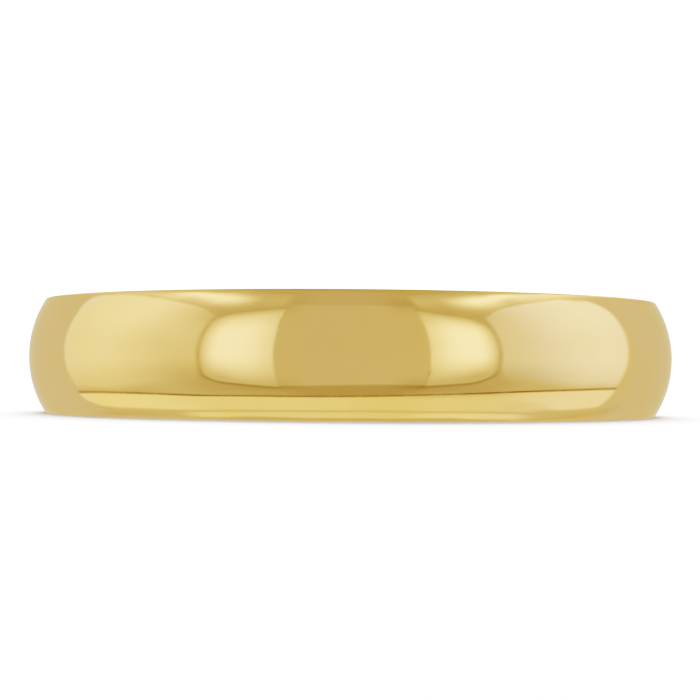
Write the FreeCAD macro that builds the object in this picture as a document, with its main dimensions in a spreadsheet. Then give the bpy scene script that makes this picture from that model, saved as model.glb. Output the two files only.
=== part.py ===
"""Plain domed wedding band: one seamless ring of gold, lying on its side face.

Millimetres. +Z is the ring's axis and points up. The lower side face lies in z = 0, and the origin is
that face's centre, on the axis. The cross section is a dome outside and a comfort fit inside: a straight
land in the middle of the bore, which an arc eases outwards to each side face.
"""
import FreeCAD
import Part
import Sketcher
import os

# The driving dimensions, as they stand in the spreadsheet.
SIZES = {
    "bore_diameter": 19.84,    # across the land: a US size 10 finger
    "band_width": 4.0,         # from side face to side face, along the axis
    "wall_thickness": 1.5,     # from the land to the crown of the dome
    "dome_radius": 3.7,        # of the dome's arc, seen in cross section
    "land_length": 2.4,        # of the straight middle of the bore
    "comfort_radius": 1.7,     # of the arc from the land to a side face
    "outer_softening": 0.1,    # fillet radius between the dome and a side face
    "inner_softening": 0.15,   # fillet radius between the bore and a side face
}
FULL_TURN = 360
NEARLY = 1e-4                  # two lengths that differ by less than this are the same
MOST_SOFTENED = 0.01           # the fillets take away less than this share of the volume

# The sketcher's numbers for the points of an edge, and for the sketch's origin and its x axis.
START, END, CENTRE = 1, 2, 3
ORIGIN = (-1, 1)
X_AXIS = -1

# The cross section's edges, in the order in which they are drawn.
DOME, UPPER_SIDE, UPPER_EASE, LAND, LOWER_EASE, LOWER_SIDE = range(6)


def add_sheet(doc):
    """Writes the driving dimensions to a spreadsheet, one aliased cell each."""
    sheet = doc.addObject("Spreadsheet::Sheet", "Sizes")
    for row, (alias, value) in enumerate(SIZES.items(), start=1):
        sheet.set(f"A{row}", alias)
        sheet.set(f"B{row}", str(value))
        sheet.setAlias(f"B{row}", alias)
    doc.recompute()
    return sheet


def drawn_outline(sheet):
    """The cross section's edges as first drawn: x is the distance from the axis and y the height."""
    middle = sheet.band_width / 2
    top = sheet.band_width
    bore = sheet.bore_diameter / 2
    land_half = sheet.land_length / 2
    ease_rise = middle - land_half
    dome_centre = bore + sheet.wall_thickness - sheet.dome_radius

    def at(reach, height):
        return FreeCAD.Vector(reach, height, 0)

    def eased(rise):
        """The bore's radius at that height beyond the land's end."""
        return bore + sheet.comfort_radius - (sheet.comfort_radius**2 - rise**2) ** 0.5

    def ease_arc(side):
        """The comfort arc above the land (side 1) or below it (side -1)."""
        return Part.Arc(
            at(bore, middle + side * land_half),
            at(eased(ease_rise / 2), middle + side * (land_half + ease_rise / 2)),
            at(eased(ease_rise), middle + side * middle),
        )

    dome_end = dome_centre + (sheet.dome_radius**2 - middle**2) ** 0.5
    bore_end = eased(ease_rise)
    return [
        Part.Arc(at(dome_end, 0), at(dome_centre + sheet.dome_radius, middle), at(dome_end, top)),
        Part.LineSegment(at(dome_end, top), at(bore_end, top)),
        ease_arc(1),
        Part.LineSegment(at(bore, middle + land_half), at(bore, middle - land_half)),
        ease_arc(-1),
        Part.LineSegment(at(bore_end, 0), at(dome_end, 0)),
    ]


def constrain(sketch):
    """Closes the cross section, and ties each of its sizes to the sheet."""

    def fix(kind, *where):
        sketch.addConstraint(Sketcher.Constraint(kind, *where))

    def size(name, formula, kind, *where):
        """Adds a named dimension that follows a formula of the sheet's cells."""
        value = float(sketch.evalExpression(formula))
        index = sketch.addConstraint(Sketcher.Constraint(kind, *where, value))
        sketch.renameConstraint(index, name)
        sketch.setExpression(f"Constraints.{name}", formula)

    fix("Coincident", DOME, END, UPPER_SIDE, START)
    fix("Coincident", UPPER_SIDE, END, UPPER_EASE, START)
    fix("Tangent", UPPER_EASE, END, LAND, START)
    fix("Tangent", LAND, END, LOWER_EASE, START)
    fix("Coincident", LOWER_EASE, END, LOWER_SIDE, START)
    fix("Coincident", LOWER_SIDE, END, DOME, START)
    fix("Vertical", LAND)
    fix("Horizontal", UPPER_SIDE)
    fix("Horizontal", LOWER_SIDE)
    fix("PointOnObject", DOME, START, X_AXIS)
    size("band_width", "Sizes.band_width", "DistanceY", DOME, START, DOME, END)
    size("dome_radius", "Sizes.dome_radius", "Radius", DOME)
    size(
        "dome_centre",
        "Sizes.bore_diameter / 2 + Sizes.wall_thickness - Sizes.dome_radius",
        "DistanceX", *ORIGIN, DOME, CENTRE,
    )
    size("dome_middle", "Sizes.band_width / 2", "DistanceY", *ORIGIN, DOME, CENTRE)
    size("bore_radius", "Sizes.bore_diameter / 2", "DistanceX", *ORIGIN, LAND, END)
    size("land_length", "Sizes.land_length", "DistanceY", LAND, END, LAND, START)
    size(
        "land_height",
        "(Sizes.band_width - Sizes.land_length) / 2",
        "DistanceY", *ORIGIN, LAND, END,
    )
    size("upper_comfort", "Sizes.comfort_radius", "Radius", UPPER_EASE)
    size("lower_comfort", "Sizes.comfort_radius", "Radius", LOWER_EASE)


def add_cross_section(body, sheet):
    """The band's cross section, sketched in the plane that holds the axis."""
    sketch = body.newObject("Sketcher::SketchObject", "CrossSection")
    plane = next(f for f in body.Origin.OriginFeatures if f.Role == "XZ_Plane")
    sketch.AttachmentSupport = (plane, "")
    sketch.MapMode = "FlatFace"
    sketch.addGeometry(drawn_outline(sheet), False)
    constrain(sketch)
    return sketch


def add_turned_ring(body, sketch):
    """The cross section turned once round the axis."""
    ring = body.newObject("PartDesign::Revolution", "TurnedRing")
    ring.Profile = sketch
    ring.ReferenceAxis = (sketch, ["V_Axis"])
    ring.Angle = FULL_TURN
    return ring


def side_face_rims(shape, sheet):
    """The names of the rims of both side faces: the inner ones, then the outer ones."""
    inner, outer = [], []
    parting = (sheet.bore_diameter + sheet.wall_thickness) / 2
    for number, edge in enumerate(shape.Edges, start=1):
        is_circle = isinstance(edge.Curve, Part.Circle)
        if is_circle and min(abs(edge.Curve.Center.z - z) for z in (0, sheet.band_width)) < NEARLY:
            rims = inner if edge.Curve.Radius < parting else outer
            rims.append(f"Edge{number}")
    return inner, outer


def soften(body, name, base, rims, cell):
    """Fillets those rims of the base feature, at the radius in that cell."""
    fillet = body.newObject("PartDesign::Fillet", name)
    fillet.Base = (base, rims)
    fillet.setExpression("Radius", f"Sizes.{cell}")
    return fillet


def build(doc):
    """Builds the band's body in the document, and returns it."""
    sheet = add_sheet(doc)
    body = doc.addObject("PartDesign::Body", "Band")
    body.Label = "band"
    ring = add_turned_ring(body, add_cross_section(body, sheet))
    doc.recompute()
    inner, _ = side_face_rims(ring.Shape, sheet)
    eased = soften(body, "InnerSoftening", ring, inner, "inner_softening")
    doc.recompute()
    _, outer = side_face_rims(eased.Shape, sheet)
    soften(body, "OuterSoftening", eased, outer, "outer_softening")
    doc.recompute()
    return body, ring


def check(doc, body, ring):
    """Stops the script unless every object is sound and the fillets took off a little."""
    for item in doc.Objects:
        if {"Invalid", "Error"} & set(item.State):
            raise RuntimeError(f"{item.Label} failed: {item.State}")
    if not body.Group[0].FullyConstrained:
        raise RuntimeError("the cross section isn't fully constrained")
    shape = body.Shape
    if shape.isNull() or not shape.isValid() or len(shape.Solids) != 1:
        raise RuntimeError("the band isn't one sound solid")
    softened = 1 - shape.Volume / ring.Shape.Volume
    if not 0 < softened < MOST_SOFTENED:
        raise RuntimeError(f"the fillets took away {softened:.4f} of the volume")


def main():
    doc = FreeCAD.newDocument("wedding_band")
    body, ring = build(doc)
    check(doc, body, ring)
    os.makedirs("parts", exist_ok=True)
    body.Shape.exportStep(f"parts/{body.Label}.step")
    box = body.Shape.optimalBoundingBox(False)
    print(f"band: {box.XLength:.3f} x {box.YLength:.3f} x {box.ZLength:.3f} mm, "
          f"{body.Shape.Volume:.2f} mm3")


main()
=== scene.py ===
"""Looks of the plain domed wedding band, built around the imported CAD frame.

Everything is in metres, in the frame of the CAD model: the ring lies on its lower side face, its
axis is +Z, and the camera looks along +Y.
"""
import math

import bpy
import numpy as np
from mathutils import Matrix, Vector


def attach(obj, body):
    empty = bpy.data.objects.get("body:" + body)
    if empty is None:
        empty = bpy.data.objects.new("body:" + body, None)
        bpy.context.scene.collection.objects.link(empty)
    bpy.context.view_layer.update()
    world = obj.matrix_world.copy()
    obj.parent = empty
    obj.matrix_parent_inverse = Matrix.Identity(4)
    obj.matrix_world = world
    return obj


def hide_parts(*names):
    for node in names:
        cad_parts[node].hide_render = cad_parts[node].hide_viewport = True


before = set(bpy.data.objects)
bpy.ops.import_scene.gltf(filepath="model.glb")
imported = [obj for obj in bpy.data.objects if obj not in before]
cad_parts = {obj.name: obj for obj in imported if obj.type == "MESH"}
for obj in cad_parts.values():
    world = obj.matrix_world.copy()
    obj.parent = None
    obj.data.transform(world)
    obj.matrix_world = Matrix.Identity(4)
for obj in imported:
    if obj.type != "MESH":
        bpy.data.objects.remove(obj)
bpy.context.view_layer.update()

MM = 0.001

# ---------------------------------------------------------------- the ring's sizes, as in the CAD
BORE_RADIUS = 9.92 * MM
WALL = 1.5 * MM
WIDTH = 4.0 * MM
DOME_RADIUS = 3.7 * MM
LAND_LENGTH = 2.4 * MM
COMFORT_RADIUS = 1.7 * MM
OUTER_SOFTENING = 0.1 * MM
INNER_SOFTENING = 0.15 * MM

OUTER_RADIUS = BORE_RADIUS + WALL
HALF_WIDTH = WIDTH / 2

# ---------------------------------------------------------------- how finely the ring is meshed
STEPS_AROUND = 720
DOME_STEPS = 44
SOFTENING_STEPS = 8
COMFORT_STEPS = 6
LAND_STEPS = 6
SIDE_STEPS = 2

# ---------------------------------------------------------------- camera
CAMERA_DISTANCE = 64.55 * MM
CAMERA_HEIGHT = 1.472 * MM
CAMERA_PITCH = math.radians(0.728)
CAMERA_ROLL = math.radians(0.455)
CAMERA_LENS = 92.03
CAMERA_SHIFT = -0.0007
SENSOR_WIDTH = 36.0
CLIP_START = 1.0 * MM
CLIP_END = 10.0

# ---------------------------------------------------------------- studio
FLOOR_WHITE = 0.8
FLOOR_ROUGHNESS = 0.9
FLOOR_SIZE = 2.0
TENT_RADIUS = 2.0
TENT_STEP = 0.5
CLOTH_BRIGHTNESS = 0.87
BACKDROP_WHITE = 1.4
ROOM_LIGHT = 0.48
KEY_LIGHT = 4.2
KEY_SPREAD = math.radians(50.0)
KEY_DIRECTION = (0.0, 0.37, 0.36)
# the far strip of the lit table narrows towards the sides: its near edge, by how far to the side it is
TAPER_SIDE = (70.0, 80.0, 90.0, 105.0, 112.0, 119.0)
TAPER_EDGE = (-46.5, -43.0, -38.9, -32.6, -28.5, -20.0)

# ---------------------------------------------------------------- film
# film_level() bends at the knee with this slope, and the toe is the power that darkens the shadows
FILM_KNEE = 0.0574
FILM_SLOPE = 1.248
FILM_TOE = 5.885
# the colour curve's darkest stop above black, and how many stops there are from it up to white
FILM_BLACK = 0.04
FILM_STEPS = 12

# ---------------------------------------------------------------- gold
# its colour, its colour under smudges, and the tint of what it mirrors at grazing angles
GOLD = (0.92, 0.647, 0.305)
GOLD_SMUDGED = (0.905, 0.628, 0.287)
GOLD_AT_GRAZING = (0.97, 0.85, 0.70)

# how often each pattern repeats in a metre
HAIRLINES_ALONG = 60.0
HAIRLINES_ACROSS = 9000.0
SMUDGES = 330.0
WAVES = 420.0
NICKS = 5200.0
# the fine scratches: their angle to the band, how often they repeat along and across, and a pattern number
SCRATCHES = (
    (0.5, 260.0, 21000.0, 3.0),
    (-0.9, 320.0, 26000.0, 11.0),
    (0.15, 180.0, 24000.0, 23.0),
)
# the roughness of the polish between and on its hairlines, and what each kind of wear adds
ROUGHNESS_LEAST = 0.040
ROUGHNESS_MOST = 0.062
SMUDGE_ROUGHNESS = 0.012
SCRATCH_ROUGHNESS = 0.05
EDGE_ROUGHNESS = 0.06
BORE_ROUGHNESS = 0.05
# how high each pattern stands, in metres
WAVE_HEIGHT = 1.0e-6
HAIRLINE_HEIGHT = 3.0e-8
SCRATCH_HEIGHT = -4.0e-8
NICK_HEIGHT = 4.0e-7


def arc(centre, radius, start, end, steps):
    """Points (r, z) along an arc from angle start to end, the last one left out."""
    angles = [start + (end - start) * i / steps for i in range(steps)]
    return [(centre[0] + radius * math.cos(a), centre[1] + radius * math.sin(a)) for a in angles]


def line(start, end, steps):
    """Points from start towards end, the last one left out."""
    return [
        (start[0] + (end[0] - start[0]) * i / steps, start[1] + (end[1] - start[1]) * i / steps)
        for i in range(steps)
    ]


def upper_outline():
    """The upper half of the cross section, from the middle of the bore to the middle of the dome.

    Heights are measured from the ring's middle plane.
    """
    land = LAND_LENGTH / 2
    easing = (BORE_RADIUS + COMFORT_RADIUS, land)
    inner_z = HALF_WIDTH - INNER_SOFTENING
    inner_reach = COMFORT_RADIUS - INNER_SOFTENING
    inner_r = easing[0] - math.sqrt(inner_reach**2 - (inner_z - easing[1]) ** 2)
    inner_turn = math.atan2(inner_z - easing[1], easing[0] - inner_r)

    dome = (OUTER_RADIUS - DOME_RADIUS, 0.0)
    outer_z = HALF_WIDTH - OUTER_SOFTENING
    outer_reach = DOME_RADIUS - OUTER_SOFTENING
    outer_r = dome[0] + math.sqrt(outer_reach**2 - outer_z**2)
    outer_turn = math.atan2(outer_z, outer_r - dome[0])

    points = line((BORE_RADIUS, 0.0), (BORE_RADIUS, land), LAND_STEPS // 2)
    points += arc(easing, COMFORT_RADIUS, math.pi, math.pi - inner_turn, COMFORT_STEPS)
    points += arc(
        (inner_r, inner_z), INNER_SOFTENING, math.pi - inner_turn, math.pi / 2, SOFTENING_STEPS
    )
    points += line((inner_r, HALF_WIDTH), (outer_r, HALF_WIDTH), SIDE_STEPS)
    points += arc((outer_r, outer_z), OUTER_SOFTENING, math.pi / 2, outer_turn, SOFTENING_STEPS)
    points += arc(dome, DOME_RADIUS, outer_turn, 0.0, DOME_STEPS // 2)
    return points


def closed_outline():
    """The whole cross section, once round, in heights above the lower side face."""
    upper = upper_outline()
    lower = [(r, -z) for r, z in reversed(upper[1:])]
    middle_of_dome = [(OUTER_RADIUS, 0.0)]
    return [(r, z + HALF_WIDTH) for r, z in upper + middle_of_dome + lower]


def turned_ring(name, outline):
    """A smooth mesh made by turning the outline once round +Z."""
    across = len(outline)
    vertices = []
    for i in range(STEPS_AROUND):
        turn = 2 * math.pi * i / STEPS_AROUND
        c, s = math.cos(turn), math.sin(turn)
        vertices += [(r * c, r * s, z) for r, z in outline]
    faces = []
    for i in range(STEPS_AROUND):
        here = i * across
        there = ((i + 1) % STEPS_AROUND) * across
        for j in range(across):
            k = (j + 1) % across
            faces.append((here + j, here + k, there + k, there + j))
    mesh = bpy.data.meshes.new(name)
    mesh.from_pydata(vertices, [], faces)
    mesh.polygons.foreach_set("use_smooth", [True] * len(faces))
    mesh.update()
    piece = bpy.data.objects.new(name, mesh)
    bpy.context.scene.collection.objects.link(piece)
    return piece


# ---------------------------------------------------------------- materials


class Nodes:
    """Short calls for building a material's nodes."""

    def __init__(self, tree):
        self.tree = tree
        tree.nodes.clear()

    def add(self, kind, **settings):
        node = self.tree.nodes.new(kind)
        for key, value in settings.items():
            setattr(node, key, value)
        return node

    def link(self, source, target):
        self.tree.links.new(source, target)

    def put(self, value, target):
        """Links a socket, or sets a number."""
        if isinstance(value, bpy.types.NodeSocket):
            self.link(value, target)
        else:
            target.default_value = value

    def math(self, operation, a, b=0.0):
        node = self.add("ShaderNodeMath", operation=operation)
        self.put(a, node.inputs[0])
        self.put(b, node.inputs[1])
        return node.outputs[0]

    def vector(self, x, y, z):
        node = self.add("ShaderNodeCombineXYZ")
        self.put(x, node.inputs[0])
        self.put(y, node.inputs[1])
        self.put(z, node.inputs[2])
        return node.outputs[0]

    def scaled(self, value, amount):
        return self.math("MULTIPLY", value, amount)

    def total(self, whole, *parts):
        """A value, with further values added to it one by one."""
        for part in parts:
            whole = self.math("ADD", whole, part)
        return whole

    def noise(self, vector, scale, detail, w=None):
        node = self.add("ShaderNodeTexNoise", noise_dimensions="3D" if w is None else "4D")
        self.put(vector, node.inputs["Vector"])
        if w is not None:
            self.put(w, node.inputs["W"])
        node.inputs["Scale"].default_value = scale
        node.inputs["Detail"].default_value = detail
        return node.outputs["Fac"]

    def remap(self, value, low, high, to_low=0.0, to_high=1.0, smooth=True):
        node = self.add("ShaderNodeMapRange")
        node.interpolation_type = "SMOOTHSTEP" if smooth else "LINEAR"
        self.put(value, node.inputs["Value"])
        node.inputs["From Min"].default_value = low
        node.inputs["From Max"].default_value = high
        node.inputs["To Min"].default_value = to_low
        node.inputs["To Max"].default_value = to_high
        return node.outputs["Result"]


class Places:
    """Where a point of the ring lies, as sockets: its position, and its distance from the axis."""

    def __init__(self, n):
        self.point = n.add("ShaderNodeTexCoord").outputs["Object"]
        split = n.add("ShaderNodeSeparateXYZ")
        n.link(self.point, split.inputs[0])
        self.x, self.y, self.z = split.outputs
        squares = n.math("ADD", n.math("MULTIPLY", self.x, self.x), n.math("MULTIPLY", self.y, self.y))
        self.radius = n.math("SQRT", squares)


def near_edges(n, at):
    """1 at the rims of both side faces, 0 elsewhere."""
    off_middle = n.math("ABSOLUTE", n.math("SUBTRACT", at.z, HALF_WIDTH))
    start = HALF_WIDTH - 2.2 * OUTER_SOFTENING
    return n.remap(off_middle, start, HALF_WIDTH - 0.3 * OUTER_SOFTENING)


def on_outside(n, at):
    """1 on the outer part of the ring, 0 further in."""
    return n.remap(at.radius, OUTER_RADIUS - 0.9 * MM, OUTER_RADIUS - 0.55 * MM)


def in_bore(n, at):
    """1 on the bore, 0 further out."""
    return n.remap(at.radius, BORE_RADIUS + 0.3 * MM, BORE_RADIUS + 0.1 * MM)


def hairlines(n, at):
    """Lines that follow the band: noise drawn out round it and very fine across it."""
    along_x = n.scaled(at.x, HAIRLINES_ALONG)
    along_y = n.scaled(at.y, HAIRLINES_ALONG)
    stretched = n.vector(along_x, along_y, n.scaled(at.z, HAIRLINES_ACROSS))
    return n.noise(stretched, 1.0, detail=3.0, w=n.scaled(at.radius, HAIRLINES_ACROSS))


def scratches(n, at):
    """Fine straight scratches in a few directions, on the band laid out flat."""
    around = n.scaled(n.math("ARCTAN2", at.y, at.x), OUTER_RADIUS)
    layers = []
    for turn, along, across, pattern in SCRATCHES:
        c, s = math.cos(turn), math.sin(turn)
        forward = n.math("ADD", n.scaled(around, c), n.scaled(at.z, s))
        sideways = n.math("SUBTRACT", n.scaled(at.z, c), n.scaled(around, s))
        drawn = n.vector(n.scaled(forward, along), n.scaled(sideways, across), pattern)
        layers.append(n.remap(n.noise(drawn, 1.0, detail=0.0), 0.70, 0.80))
    return n.total(*layers)


def gold_colour(n, smudges):
    """Gold that is slightly redder and darker under the smudges."""
    colour = n.add("ShaderNodeMix", data_type="RGBA")
    colour.inputs["A"].default_value = (*GOLD, 1.0)
    colour.inputs["B"].default_value = (*GOLD_SMUDGED, 1.0)
    n.link(smudges, colour.inputs["Factor"])
    return colour.outputs["Result"]


def polished_gold():
    """Mirror-polished yellow gold with light wear, which is duller at its edges and in its bore."""
    material = bpy.data.materials.new("polished_gold")
    material.use_nodes = True
    n = Nodes(material.node_tree)
    shader = n.add("ShaderNodeBsdfPrincipled")
    output = n.add("ShaderNodeOutputMaterial")
    n.link(shader.outputs[0], output.inputs["Surface"])
    shader.inputs["Metallic"].default_value = 1.0
    shader.inputs["Specular Tint"].default_value = (*GOLD_AT_GRAZING, 1.0)

    at = Places(n)
    edges = near_edges(n, at)
    lines = hairlines(n, at)
    scratched = scratches(n, at)
    smudges = n.remap(n.noise(at.point, SMUDGES, detail=3.0), 0.42, 0.72)
    n.link(gold_colour(n, smudges), shader.inputs["Base Color"])

    roughness = n.total(
        n.remap(lines, 0.35, 0.75, ROUGHNESS_LEAST, ROUGHNESS_MOST),
        n.scaled(smudges, SMUDGE_ROUGHNESS),
        n.scaled(scratched, SCRATCH_ROUGHNESS),
        n.scaled(n.math("MULTIPLY", edges, on_outside(n, at)), EDGE_ROUGHNESS),
        n.scaled(in_bore(n, at), BORE_ROUGHNESS),
    )
    n.link(roughness, shader.inputs["Roughness"])

    nicks = n.math("MULTIPLY", n.noise(at.point, NICKS, detail=2.0), edges)
    height = n.total(
        n.scaled(n.noise(at.point, WAVES, detail=1.0), WAVE_HEIGHT),
        n.scaled(lines, HAIRLINE_HEIGHT),
        n.scaled(scratched, SCRATCH_HEIGHT),
        n.scaled(nicks, NICK_HEIGHT),
    )
    bump = n.add("ShaderNodeBump")
    bump.inputs["Strength"].default_value = 1.0
    bump.inputs["Distance"].default_value = 1.0
    n.link(height, bump.inputs["Height"])
    n.link(bump.outputs["Normal"], shader.inputs["Normal"])
    return material


# ---------------------------------------------------------------- the studio's light tent
# The numbers in this part are angles in degrees, or levels of brightness, where 1 is nearly white.


def rise(x, low, high):
    """0 below low, 1 above high, smooth between."""
    t = np.clip((x - low) / (high - low), 0.0, 1.0)
    return t * t * (3.0 - 2.0 * t)


def fall(x, low, high):
    """1 below low, 0 above high, smooth between."""
    return 1.0 - rise(x, low, high)


def bell(x, middle, width):
    """1 at the middle, falling to 0 a few widths away on either hand."""
    return np.exp(-0.5 * ((x - middle) / width) ** 2)


def mix(a, b, share):
    """a at a share of 0, b at a share of 1, and in between otherwise."""
    return a + (b - a) * share


class Directions:
    """Directions in the tent, in degrees.

    az is 0 towards the camera and grows to the right, side is its size on either hand, and el is 0 on
    the level and positive above it.
    """

    def __init__(self, azimuth, elevation):
        self.az = azimuth
        self.el = elevation
        self.side = np.abs(azimuth)
        self.ahead = np.cos(np.radians(azimuth))
        self.across = np.sin(np.radians(azimuth))
        self.right = rise(azimuth, -2.0, 2.0)

    def pick(self, left, right):
        """A value that differs between the left half of the tent and the right half."""
        return mix(left, right, self.right)


def cloth(at):
    """Plain cloth that brightens to the sides, with a faint band and a seam overhead."""
    level = 0.36 + 0.09 * rise(at.side, 45.0, 115.0) + 0.008 * rise(at.side, 115.0, 130.0)
    band = rise(at.side, 28.4, 30.0) * fall(at.side, 42.0, 60.0) * bell(at.el, 52.0, 4.5)
    level = level + at.pick(0.045, 0.075) * band
    seam = rise(at.side, 22.0, 32.0) * fall(at.side, 50.0, 60.0) * bell(at.el, 60.5, 1.3)
    return mix(level, 0.335, seam)


def skirt(at):
    """The darker cloth that hangs below the panels and the window."""
    level = 0.305 + 0.05 * rise(at.side, 20.0, 60.0)
    level = level + 0.055 * rise(at.side, 50.0, 70.0) + 0.02 * rise(at.side, 85.0, 105.0)
    hem = rise(-at.el, 29.0, 36.0) * rise(at.side, 14.0, 26.0) * fall(at.side, 56.0, 70.0)
    return level + 0.035 * hem + 0.025 * at.right * bell(at.side, 87.0, 6.0)


def side_panel_top(at):
    """The height of a side panel's upper edge, which is level and sinks at its far end."""
    height = 0.93 + 0.03 * rise(at.side, 54.0, 62.0) * fall(at.side, 74.0, 90.0)
    height = height + 0.01 * at.right * rise(at.side, 60.0, 68.0) * fall(at.side, 76.0, 92.0)
    height = height - 0.02 * rise(at.side, 68.0, 80.0) - 0.035 * rise(at.side, 86.0, 98.0)
    height = height - at.pick(0.045, 0.11) * rise(at.side, 96.0, 108.0)
    height = height - at.pick(0.09 * rise(at.side, 106.0, 120.0), 0.05 * rise(at.side, 106.0, 116.0))
    return np.degrees(np.arctan(height * np.abs(at.across))) - 2.0 * fall(at.side, 51.0, 60.0)


def side_panel_outline(at):
    """1 inside the outline of the large panel on each hand, 0 outside it."""
    far_end = at.pick(116.9, 111.0) + at.pick(0.11, 0.15) * at.el
    bulge = 0.0022 * np.maximum(at.el, 0.0) ** 2 + 1.6 * bell(at.el, 25.5, 2.5)
    rounding_left = 0.12 * np.maximum(at.el - 27.0, 0.0) ** 2
    rounding_right = 0.034 * np.maximum(at.el - 22.0, 0.0) ** 2
    far_end = far_end + at.pick(bulge - rounding_left, -rounding_right)
    blur = at.pick(1.0, 1.8)
    outline = rise(at.side, 51.5, 53.0) * fall(at.side, far_end - blur, far_end + blur)
    top = side_panel_top(at)
    return outline * fall(at.el, top - 1.6, top + 0.8)


def side_panel_glow(at):
    """The brightness of the large panel on each hand, which grows away from the window."""
    on_left = 0.155 * rise(at.side, 55.0, 92.0) - 0.03 * rise(at.side, 95.0, 118.0)
    on_right = 0.03 + 0.195 * rise(at.side, 52.0, 96.0) - 0.02 * rise(at.side, 98.0, 112.0)
    on_left = on_left + 0.03 * bell(at.side, 60.0, 6.0) * bell(at.el, 20.0, 8.0)
    glow = 0.50 + at.pick(on_left, on_right)
    upper = rise(at.el, 8.0, at.pick(30.0, 25.0)) * rise(at.side, 58.0, 80.0)
    upper_end = rise(at.el, 12.0, 30.0) * rise(at.side, 84.0, 100.0)
    glow = glow + at.pick(0.08, 0.03) * upper + at.pick(-0.03, 0.03) * upper_end
    glow = glow - at.pick(0.10, 0.12) * rise(-at.el, 0.0, 18.0)
    return glow - at.pick(0.10, 0.07) * bell(at.side, 50.0, 5.0) * bell(at.el, 38.0, 7.0)


def side_panel_lit(at):
    """1 where a side panel is lit, 0 below its foot."""
    foot_left = -23.0 + 5.0 * rise(at.side, 92.0, 116.0)
    foot_right = -19.5 - 0.6 * bell(at.side, 84.0, 6.0) + 2.0 * rise(at.side, 88.0, 104.0)
    foot = at.pick(foot_left, foot_right)
    sharper = at.pick(2.0, 0.0) * rise(at.side, 92.0, 104.0)
    lit = rise(at.el, foot - 3.5 + sharper, foot + 5.5 - sharper)
    away = rise(at.side, 50.5, 57.0)
    lit_near = rise(at.el, mix(-23.0, -25.0, away), mix(2.0, -18.0, away))
    return lit * mix(1.0, lit_near, fall(at.side, 56.0, 80.0))


def side_panel_rims(at, level):
    """A brown rim along the upper edge of each side panel."""
    rim = bell(at.el, side_panel_top(at) + 1.7, 1.1)
    rim = rim * rise(at.side, 50.0, 56.0) * fall(at.side, 96.0, 116.0)
    return mix(level, 0.385 + at.pick(0.115, 0.135) * rise(at.side, 58.0, 82.0), rim)


def window_gap(at):
    """Where the middle patch ends and the window's panes start."""
    return at.pick(25.7, 26.7)


def outside_window(at):
    """How far outside the window's outline a direction is: sideways, up or down, and in all."""
    corner = at.pick(6.5, 9.0)
    head = np.degrees(np.arctan(at.pick(1.085, 0.985 + 0.05 * fall(at.side, 29.0, 38.0)) * at.ahead))
    sill = -np.degrees(np.arctan(at.pick(0.64, 0.592) * at.ahead))
    sill = np.maximum(sill, at.pick(-29.9, -29.0))
    sideways = at.side - at.pick(52.1, 50.8 + 0.4 * bell(at.el, 8.0, 8.0)) + corner
    upright = np.maximum(at.el - head, sill - at.el) + corner
    rounded = np.hypot(np.maximum(sideways, 0.0), np.maximum(upright, 0.0)) - corner
    return sideways, upright, rounded + np.minimum(np.maximum(sideways, upright), 0.0)


def window_frame(at, level):
    """The dark frame round the front window, heavier below than above."""
    sideways, upright, outside = outside_window(at)
    level = mix(level, skirt(at), fall(at.side, 50.0, 54.0) * rise(-at.el, 22.0, 26.0))
    jamb = rise(sideways, 0.0, 6.0) * fall(upright, 0.0, 6.0)
    width = mix(mix(1.3, 1.8, rise(at.el, -10.0, 20.0)), 0.8, jamb)
    shade = np.where(outside > 0.0, bell(outside, 0.0, width), 1.0)
    dark = mix(0.345 + 0.03 * at.right * rise(at.side, 40.0, 50.0), 0.235, rise(-at.el, 5.0, 24.0))
    return mix(level, dark, shade * rise(at.side, 24.0, 28.0))


def window_panes(at, level):
    """The window's two panes, which are brightest low down and away from the middle."""
    outside = outside_window(at)[2]
    in_front = at.side < 85.0
    up = np.tan(np.radians(np.clip(at.el, -89.0, 89.0))) / np.where(in_front, at.ahead, 1.0)
    up = np.where(in_front, (up - 0.26) / 0.875, 9.0)
    on_left = 0.62 + 0.22 * rise(at.side, 24.0, 37.0) + 0.03 * bell(at.side, 43.0, 4.0)
    on_right = 0.63 + 0.29 * rise(at.side, 25.0, 39.0)
    low_left = 0.12 * rise(at.side, 38.0, 46.0)
    low_right = 0.13 * rise(at.side, 26.0, 38.0) + 0.09 * rise(at.side, 38.0, 45.0)
    reach = at.pick(1.12, 1.06) - at.pick(low_left, low_right) * fall(up, -0.4, 0.0)
    reach = reach - at.pick(0.0, 0.05) * rise(up, 0.2, 0.5)
    share = fall(np.abs(up), 0.22, reach)
    pane = mix(0.40, at.pick(on_left, on_right), share) + 0.06 * rise(up, 0.5, 0.9)
    pane = mix(pane, 0.42, 1.0 - rise(-outside, -0.5, 7.5) ** 0.7)
    lower_half = rise(-at.el, 5.0, 15.0) * fall(-at.el, 18.0, 23.0)
    start = window_gap(at) + at.pick(0.6 * rise(at.el, 20.0, 32.0), 0.5 * lower_half)
    return mix(level, pane, rise(-outside, -0.6, 1.0) * rise(at.side, start - 0.4, start + 0.5))


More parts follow.
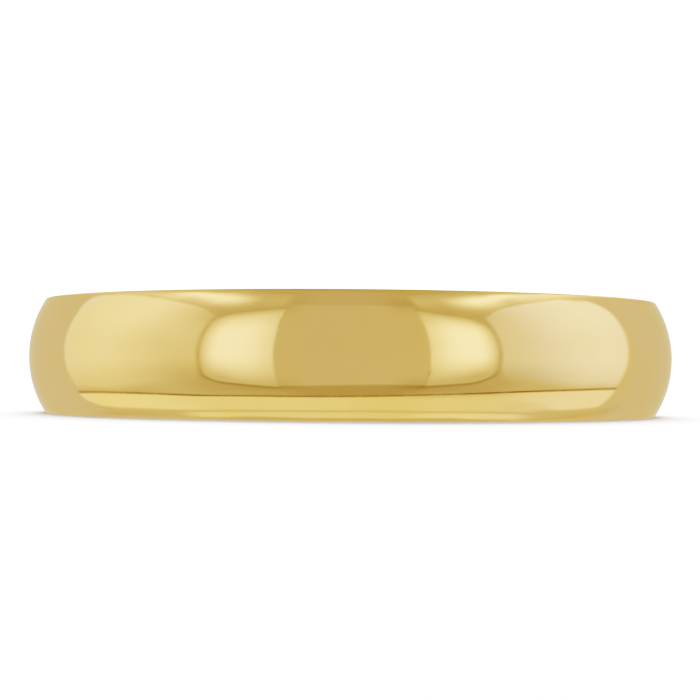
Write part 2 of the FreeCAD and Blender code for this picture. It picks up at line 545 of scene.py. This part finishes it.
def middle_patch(at, level):
    """The dull patch in the middle, where the camera stands in front of the window."""
    end = window_gap(at)
    foot = mix(-29.0, -27.4, rise(at.az, -20.0, 20.0))
    patch = fall(at.side, end - 0.5, end + 0.4) * rise(at.el, foot - 0.9, foot + 0.9)
    dull = 0.398 + 0.012 * rise(at.az, -12.0, 20.0) + 0.006 * fall(at.el, -10.0, 10.0)
    to_right = rise(at.az, 12.0, 24.0)
    head = 47.5 - 2.0 * to_right
    level = mix(level, dull, patch * fall(at.el, head, head + 3.0))
    upper = np.maximum(to_right, 0.7 * fall(at.az, -23.0, -18.0)) * rise(at.el, 36.0, 46.0)
    lower = at.pick(0.6, 1.1) * bell(at.el, foot + 1.0, 4.0) * rise(at.side, 12.0, 25.0)
    return level - (0.03 * upper + 0.05 * lower) * fall(at.side, end, end + 1.0) * fall(at.el, 50.0, 58.0)


def overhead_streaks(at, level):
    """A long lamp overhead on each hand, bright at its near end."""
    lift = at.pick(50.4, 49.5 + 1.3 * rise(at.side, 64.0, 74.0))
    lift = lift - at.pick(0.28, 0.24) * np.maximum(at.side - 76.0, 0.0)
    below = at.pick(4.2, 4.6 - 0.4 * rise(at.side, 54.0, 62.0))
    width = mix(below, 2.8, rise(at.el - lift, -1.0, 1.0))
    width = width - at.pick(1.2, 1.4) * rise(at.side, 60.0, 74.0)
    streak = bell(at.el, lift, width) * rise(at.side, 39.5, 59.5)
    fade = at.pick(0.85 * rise(at.side, 76.0, 96.0), 0.3 * rise(at.side, 74.0, 90.0))
    return level + at.pick(0.50, 0.56) * streak * (1.0 - fade)


def low_shade(at, level):
    """A soft shade on the cloth beside the table, behind the ring."""
    middle = at.pick(-36.0 + 0.43 * (at.side - 111.0), -33.0 + 0.8 * (at.side - 111.0))
    shade = bell(at.el, middle, at.pick(1.6, 2.5))
    return level - 0.045 * shade * rise(at.side, 88.0, 96.0) * fall(at.side, 116.0, 126.0)


def table_edge(at):
    """The elevation of the table's far edge."""
    edge = -23.2 - 16.3 * at.ahead + 2.4 * at.across - 0.75 * rise(at.side, 55.0, 95.0)
    return edge - at.pick(0.9 * bell(at.side, 61.0, 11.0), 0.3 * bell(at.side, 50.0, 12.0))


def table_fold(at):
    """The elevation of the fold in the cloth on the table."""
    return -41.2 - 13.8 * at.ahead + 1.2 * at.across - 1.7 * rise(at.az, 5.0, 45.0)


def table_near_edge(at):
    """The elevation of the lit table's near edge."""
    return -63.4 + 7.5 * rise(at.side, 15.0, 62.0) + 4.5 * rise(at.side, 62.0, 82.0)


def table_glow(at):
    """The lit table's brightness, with a darker line along the fold."""
    fold = table_fold(at)
    glow = 0.565 + 0.085 * rise(at.side, 55.0, 95.0)
    glow = glow - 0.02 * at.right * fall(at.side, 50.0, 80.0)
    dim = at.right * rise(at.side, 58.0, 76.0) * fall(at.side, 84.0, 94.0)
    glow = glow - 0.07 * dim * fall(at.el, -38.0, -33.0)
    near_right = at.right * rise(at.side, 25.0, 45.0) * fall(at.el, fold - 1.0, fold + 1.0)
    glow = glow + 0.07 * near_right
    glow = mix(glow, 0.43, bell(at.el, fold, 0.9))
    far_right = rise(at.az, 18.0, 28.0) * fall(at.az, 56.0, 70.0)
    return glow - 0.06 * far_right * bell(at.el, table_edge(at) - 2.0, 1.0)


def table_lit(at):
    """1 where the table is lit: a far strip beyond the fold, and a near one on this side of it."""
    fold = table_fold(at)
    tapering = np.interp(at.side, TAPER_SIDE, TAPER_EDGE)
    tapering = tapering + at.right * (2.5 - 1.2 * bell(at.side, 96.0, 7.0))
    tapering = np.where(at.side > TAPER_SIDE[0], tapering, -90.0)
    far_strip = rise(at.el, tapering - 1.6, tapering + 1.2) * rise(at.el, fold - 1.0, fold + 1.0)
    near_edge = table_near_edge(at)
    near_strip = rise(at.el, near_edge - 1.4, near_edge + 1.4)
    near_strip = near_strip * fall(at.side, at.pick(70.0, 76.0), at.pick(86.0, 92.0))
    lit = np.maximum(far_strip, near_strip)

    edge = table_edge(at)
    end = table_end(at)
    return lit * fall(at.el, edge - 1.4, edge - 0.4) * fall(at.side, end - 1.2, end + 1.2)


def table_end(at):
    """How far round on either hand the table reaches."""
    return at.pick(116.6, 109.8)


def table_outline(at, level):
    """A dark line along the table's far edge."""
    edge = table_edge(at)
    end = table_end(at)
    line = np.clip(1.4 - np.abs(at.el - edge) / 0.7, 0.0, 1.0) * fall(at.side, end - 0.6, end + 0.6)
    darker = rise(at.side, at.pick(52.0, 36.0), at.pick(62.0, 46.0)) * fall(at.side, 64.0, 80.0)
    shade = 0.19 - 0.05 * darker + 0.08 * rise(at.side, 80.0, 110.0)
    return mix(level, shade, line)


def below_table(at, level):
    """Plain cloth on this side of the lit table, straight below the ring."""
    near_edge = table_near_edge(at)
    share = fall(at.el, near_edge - 2.5, near_edge - 0.5) * fall(at.side, 70.0, 90.0)
    return mix(level, 0.385, share)


def rear_panels(at, level):
    """Soft panels behind the ring, which only show in its sides and its back."""
    sight = 34.0 - 0.52 * (at.side - 117.0)
    panel = rise(at.side, 140.0, 146.0) * fall(at.side, 164.0, 170.0)
    panel = panel * rise(at.el, sight + 2.0, sight + 6.0) * fall(at.el, 33.0, 37.0)
    return mix(level, 0.78, panel)


def tent_top(at, level):
    """The tent grows darker towards its top, most of all behind the ring."""
    deep = 0.09 - 0.05 * fall(at.side, 24.0, 54.0)
    return level - deep * rise(at.el + 0.5 * np.maximum(at.side - 120.0, 0.0), 62.0, 70.0)


def tent_tint(at, on_panel, on_table):
    """Red and blue against green.

    The right panel is cool and the table warm. Behind the ring the cloth is greyer, with a golden band.
    """
    cool = on_panel * at.right * mix(0.45, 1.0, rise(at.side, 54.0, 72.0))
    warm = on_panel * (1.0 - at.right) * fall(at.side, 52.0, 64.0) * rise(-at.el, -4.0, 8.0)
    low_enough = fall(at.el, 32.0, 46.0)
    behind = rise(at.side, 108.0, 122.0) * low_enough
    red = 1.0 - 0.035 * cool + 0.02 * on_table - 0.045 * behind * fall(at.side, 150.0, 172.0)
    cool_table = at.right * rise(at.side, 50.0, 90.0)
    blue = 1.0 + 0.16 * cool - 0.06 * warm - mix(0.09, -0.05, cool_table) * on_table
    blue = blue + 0.06 * fall(at.side, 8.0, 30.0) * rise(at.el, -30.0, -28.0)
    golden = rise(at.side, 136.0, 158.0) * fall(at.side, 160.0, 176.0) * low_enough
    blue = blue * (1.0 + 0.14 * behind - at.pick(0.22, 0.27) * golden)
    return red, blue


def tent_light(azimuth, elevation):
    """The tent's light in each direction, as red, green, blue and alpha."""
    at = Directions(azimuth, elevation)
    outline = side_panel_outline(at)
    lit_panel = side_panel_lit(at)
    lit_table = table_lit(at)

    level = cloth(at)
    panel = mix(skirt(at), side_panel_glow(at), lit_panel)
    level = mix(level, panel, outline * rise(at.el, -40.0, -38.0))
    level = side_panel_rims(at, level)
    level = window_frame(at, level)
    level = window_panes(at, level)
    level = middle_patch(at, level)
    level = overhead_streaks(at, level)
    level = low_shade(at, level)
    level = mix(level, table_glow(at), lit_table)
    level = below_table(at, level)
    level = table_outline(at, level)
    level = rear_panels(at, level)
    level = tent_top(at, level)

    red, blue = tent_tint(at, outline * lit_panel, lit_table)
    gain = CLOTH_BRIGHTNESS * level
    return np.stack([gain * red, gain, gain * blue, np.ones_like(level)], axis=-1)


def tent_mesh():
    """A sphere round the ring, with the tent's light stored at its points."""
    columns = int(round(360.0 / TENT_STEP))
    rows = int(round(180.0 / TENT_STEP)) + 1
    azimuth = (np.arange(columns) / columns) * 360.0 - 180.0
    elevation = np.linspace(-90.0, 90.0, rows)
    el, az = np.meshgrid(elevation, azimuth, indexing="ij")
    e, a = np.radians(el), np.radians(az)
    points = np.stack([np.sin(a) * np.cos(e), -np.cos(a) * np.cos(e), np.sin(e)], axis=-1)
    points = points * TENT_RADIUS + np.array([0.0, 0.0, HALF_WIDTH])

    i, j = np.meshgrid(np.arange(rows - 1), np.arange(columns), indexing="ij")
    k = (j + 1) % columns
    corners = [i * columns + j, i * columns + k, (i + 1) * columns + k, (i + 1) * columns + j]
    faces = np.stack(corners, axis=-1).reshape(-1, 4)

    mesh = bpy.data.meshes.new("light_tent")
    mesh.from_pydata(points.reshape(-1, 3).tolist(), [], faces.tolist())
    glow = mesh.attributes.new("glow", "FLOAT_COLOR", "POINT")
    glow.data.foreach_set("color", tent_light(az, el).astype(np.float32).ravel())
    mesh.update()
    return mesh


def tent_cloth():
    """Cloth that glows as its points say."""
    material = bpy.data.materials.new("tent_cloth")
    material.use_nodes = True
    material.cycles.emission_sampling = "NONE"
    n = Nodes(material.node_tree)
    colour = n.add("ShaderNodeAttribute", attribute_name="glow")
    emission = n.add("ShaderNodeEmission")
    output = n.add("ShaderNodeOutputMaterial")
    n.link(colour.outputs["Color"], emission.inputs["Color"])
    n.link(emission.outputs[0], output.inputs["Surface"])
    return material


def light_tent():
    """A sphere of glowing cloth that only reflections see."""
    mesh = tent_mesh()
    mesh.materials.append(tent_cloth())
    tent = bpy.data.objects.new("light_tent", mesh)
    bpy.context.scene.collection.objects.link(tent)
    tent.visible_camera = False
    tent.visible_diffuse = False
    tent.visible_transmission = False
    tent.visible_volume_scatter = False
    tent.visible_shadow = False
    return tent


def pale_floor():
    """A matt white floor that the ring stands on. The ring's reflections see the tent instead."""
    half = FLOOR_SIZE / 2
    mesh = bpy.data.meshes.new("floor")
    corners = [(-half, -half, 0), (half, -half, 0), (half, half, 0), (-half, half, 0)]
    mesh.from_pydata(corners, [], [(0, 1, 2, 3)])
    floor = bpy.data.objects.new("floor", mesh)
    bpy.context.scene.collection.objects.link(floor)
    material = bpy.data.materials.new("floor_white")
    material.use_nodes = True
    shader = material.node_tree.nodes["Principled BSDF"]
    shader.inputs["Base Color"].default_value = (FLOOR_WHITE, FLOOR_WHITE, FLOOR_WHITE, 1.0)
    shader.inputs["Roughness"].default_value = FLOOR_ROUGHNESS
    shader.inputs["Specular IOR Level"].default_value = 0.0
    mesh.materials.append(material)
    floor.visible_glossy = False
    return floor


def room_light():
    """Even white light from all round, and a brighter white backdrop behind the ring."""
    world = bpy.data.worlds.new("room")
    world.use_nodes = True
    n = Nodes(world.node_tree)
    seen = n.add("ShaderNodeLightPath").outputs["Is Camera Ray"]
    strength = n.remap(seen, 0.0, 1.0, ROOM_LIGHT, BACKDROP_WHITE, smooth=False)
    background = n.add("ShaderNodeBackground")
    output = n.add("ShaderNodeOutputWorld")
    background.inputs["Color"].default_value = (1.0, 1.0, 1.0, 1.0)
    n.link(strength, background.inputs["Strength"])
    n.link(background.outputs[0], output.inputs["Surface"])
    bpy.context.scene.world = world


def key_light():
    """A broad soft light from high behind the ring, for the shadow on the floor."""
    data = bpy.data.lights.new("key", "SUN")
    data.energy = KEY_LIGHT
    data.angle = KEY_SPREAD
    light = bpy.data.objects.new("key", data)
    bpy.context.scene.collection.objects.link(light)
    light.rotation_euler = Vector(KEY_DIRECTION).to_track_quat("Z", "Y").to_euler()
    light.visible_camera = False
    light.visible_glossy = False


def film_level(seen):
    """How bright a level of light looks: deep shadows are cut off, and highlights roll off to white."""
    power = seen**FILM_SLOPE
    knee = FILM_KNEE**FILM_SLOPE
    return ((1.0 + knee) * power / (power + knee)) ** FILM_TOE


def film_response():
    """The view's colour curve, from stops that are each the same number of times brighter than the last."""
    view = bpy.context.scene.view_settings
    view.view_transform = "Standard"
    view.look = "None"
    view.use_curve_mapping = True
    curves = view.curve_mapping
    curves.extend = "HORIZONTAL"
    curves.use_clip = False
    curve = curves.curves[3]
    for step in range(FILM_STEPS):
        seen = FILM_BLACK ** (1.0 - step / FILM_STEPS)
        curve.points.new(seen, film_level(seen))
    curves.update()


def camera():
    """The camera, in front of the ring and just above the floor."""
    data = bpy.data.cameras.new("camera")
    data.lens = CAMERA_LENS
    data.sensor_width = SENSOR_WIDTH
    data.shift_x = CAMERA_SHIFT
    data.clip_start = CLIP_START
    data.clip_end = CLIP_END
    thing = bpy.data.objects.new("camera", data)
    bpy.context.scene.collection.objects.link(thing)
    place = Matrix.Translation(Vector((0.0, -CAMERA_DISTANCE, CAMERA_HEIGHT)))
    aim = Matrix.Rotation(math.pi / 2 + CAMERA_PITCH, 4, "X") @ Matrix.Rotation(CAMERA_ROLL, 4, "Z")
    thing.matrix_world = place @ aim
    bpy.context.scene.camera = thing


camera()
room_light()
key_light()
film_response()

ring = turned_ring("ring", closed_outline())
ring.data.materials.append(polished_gold())
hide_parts("band")
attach(ring, "root")

pale_floor()
light_tent()
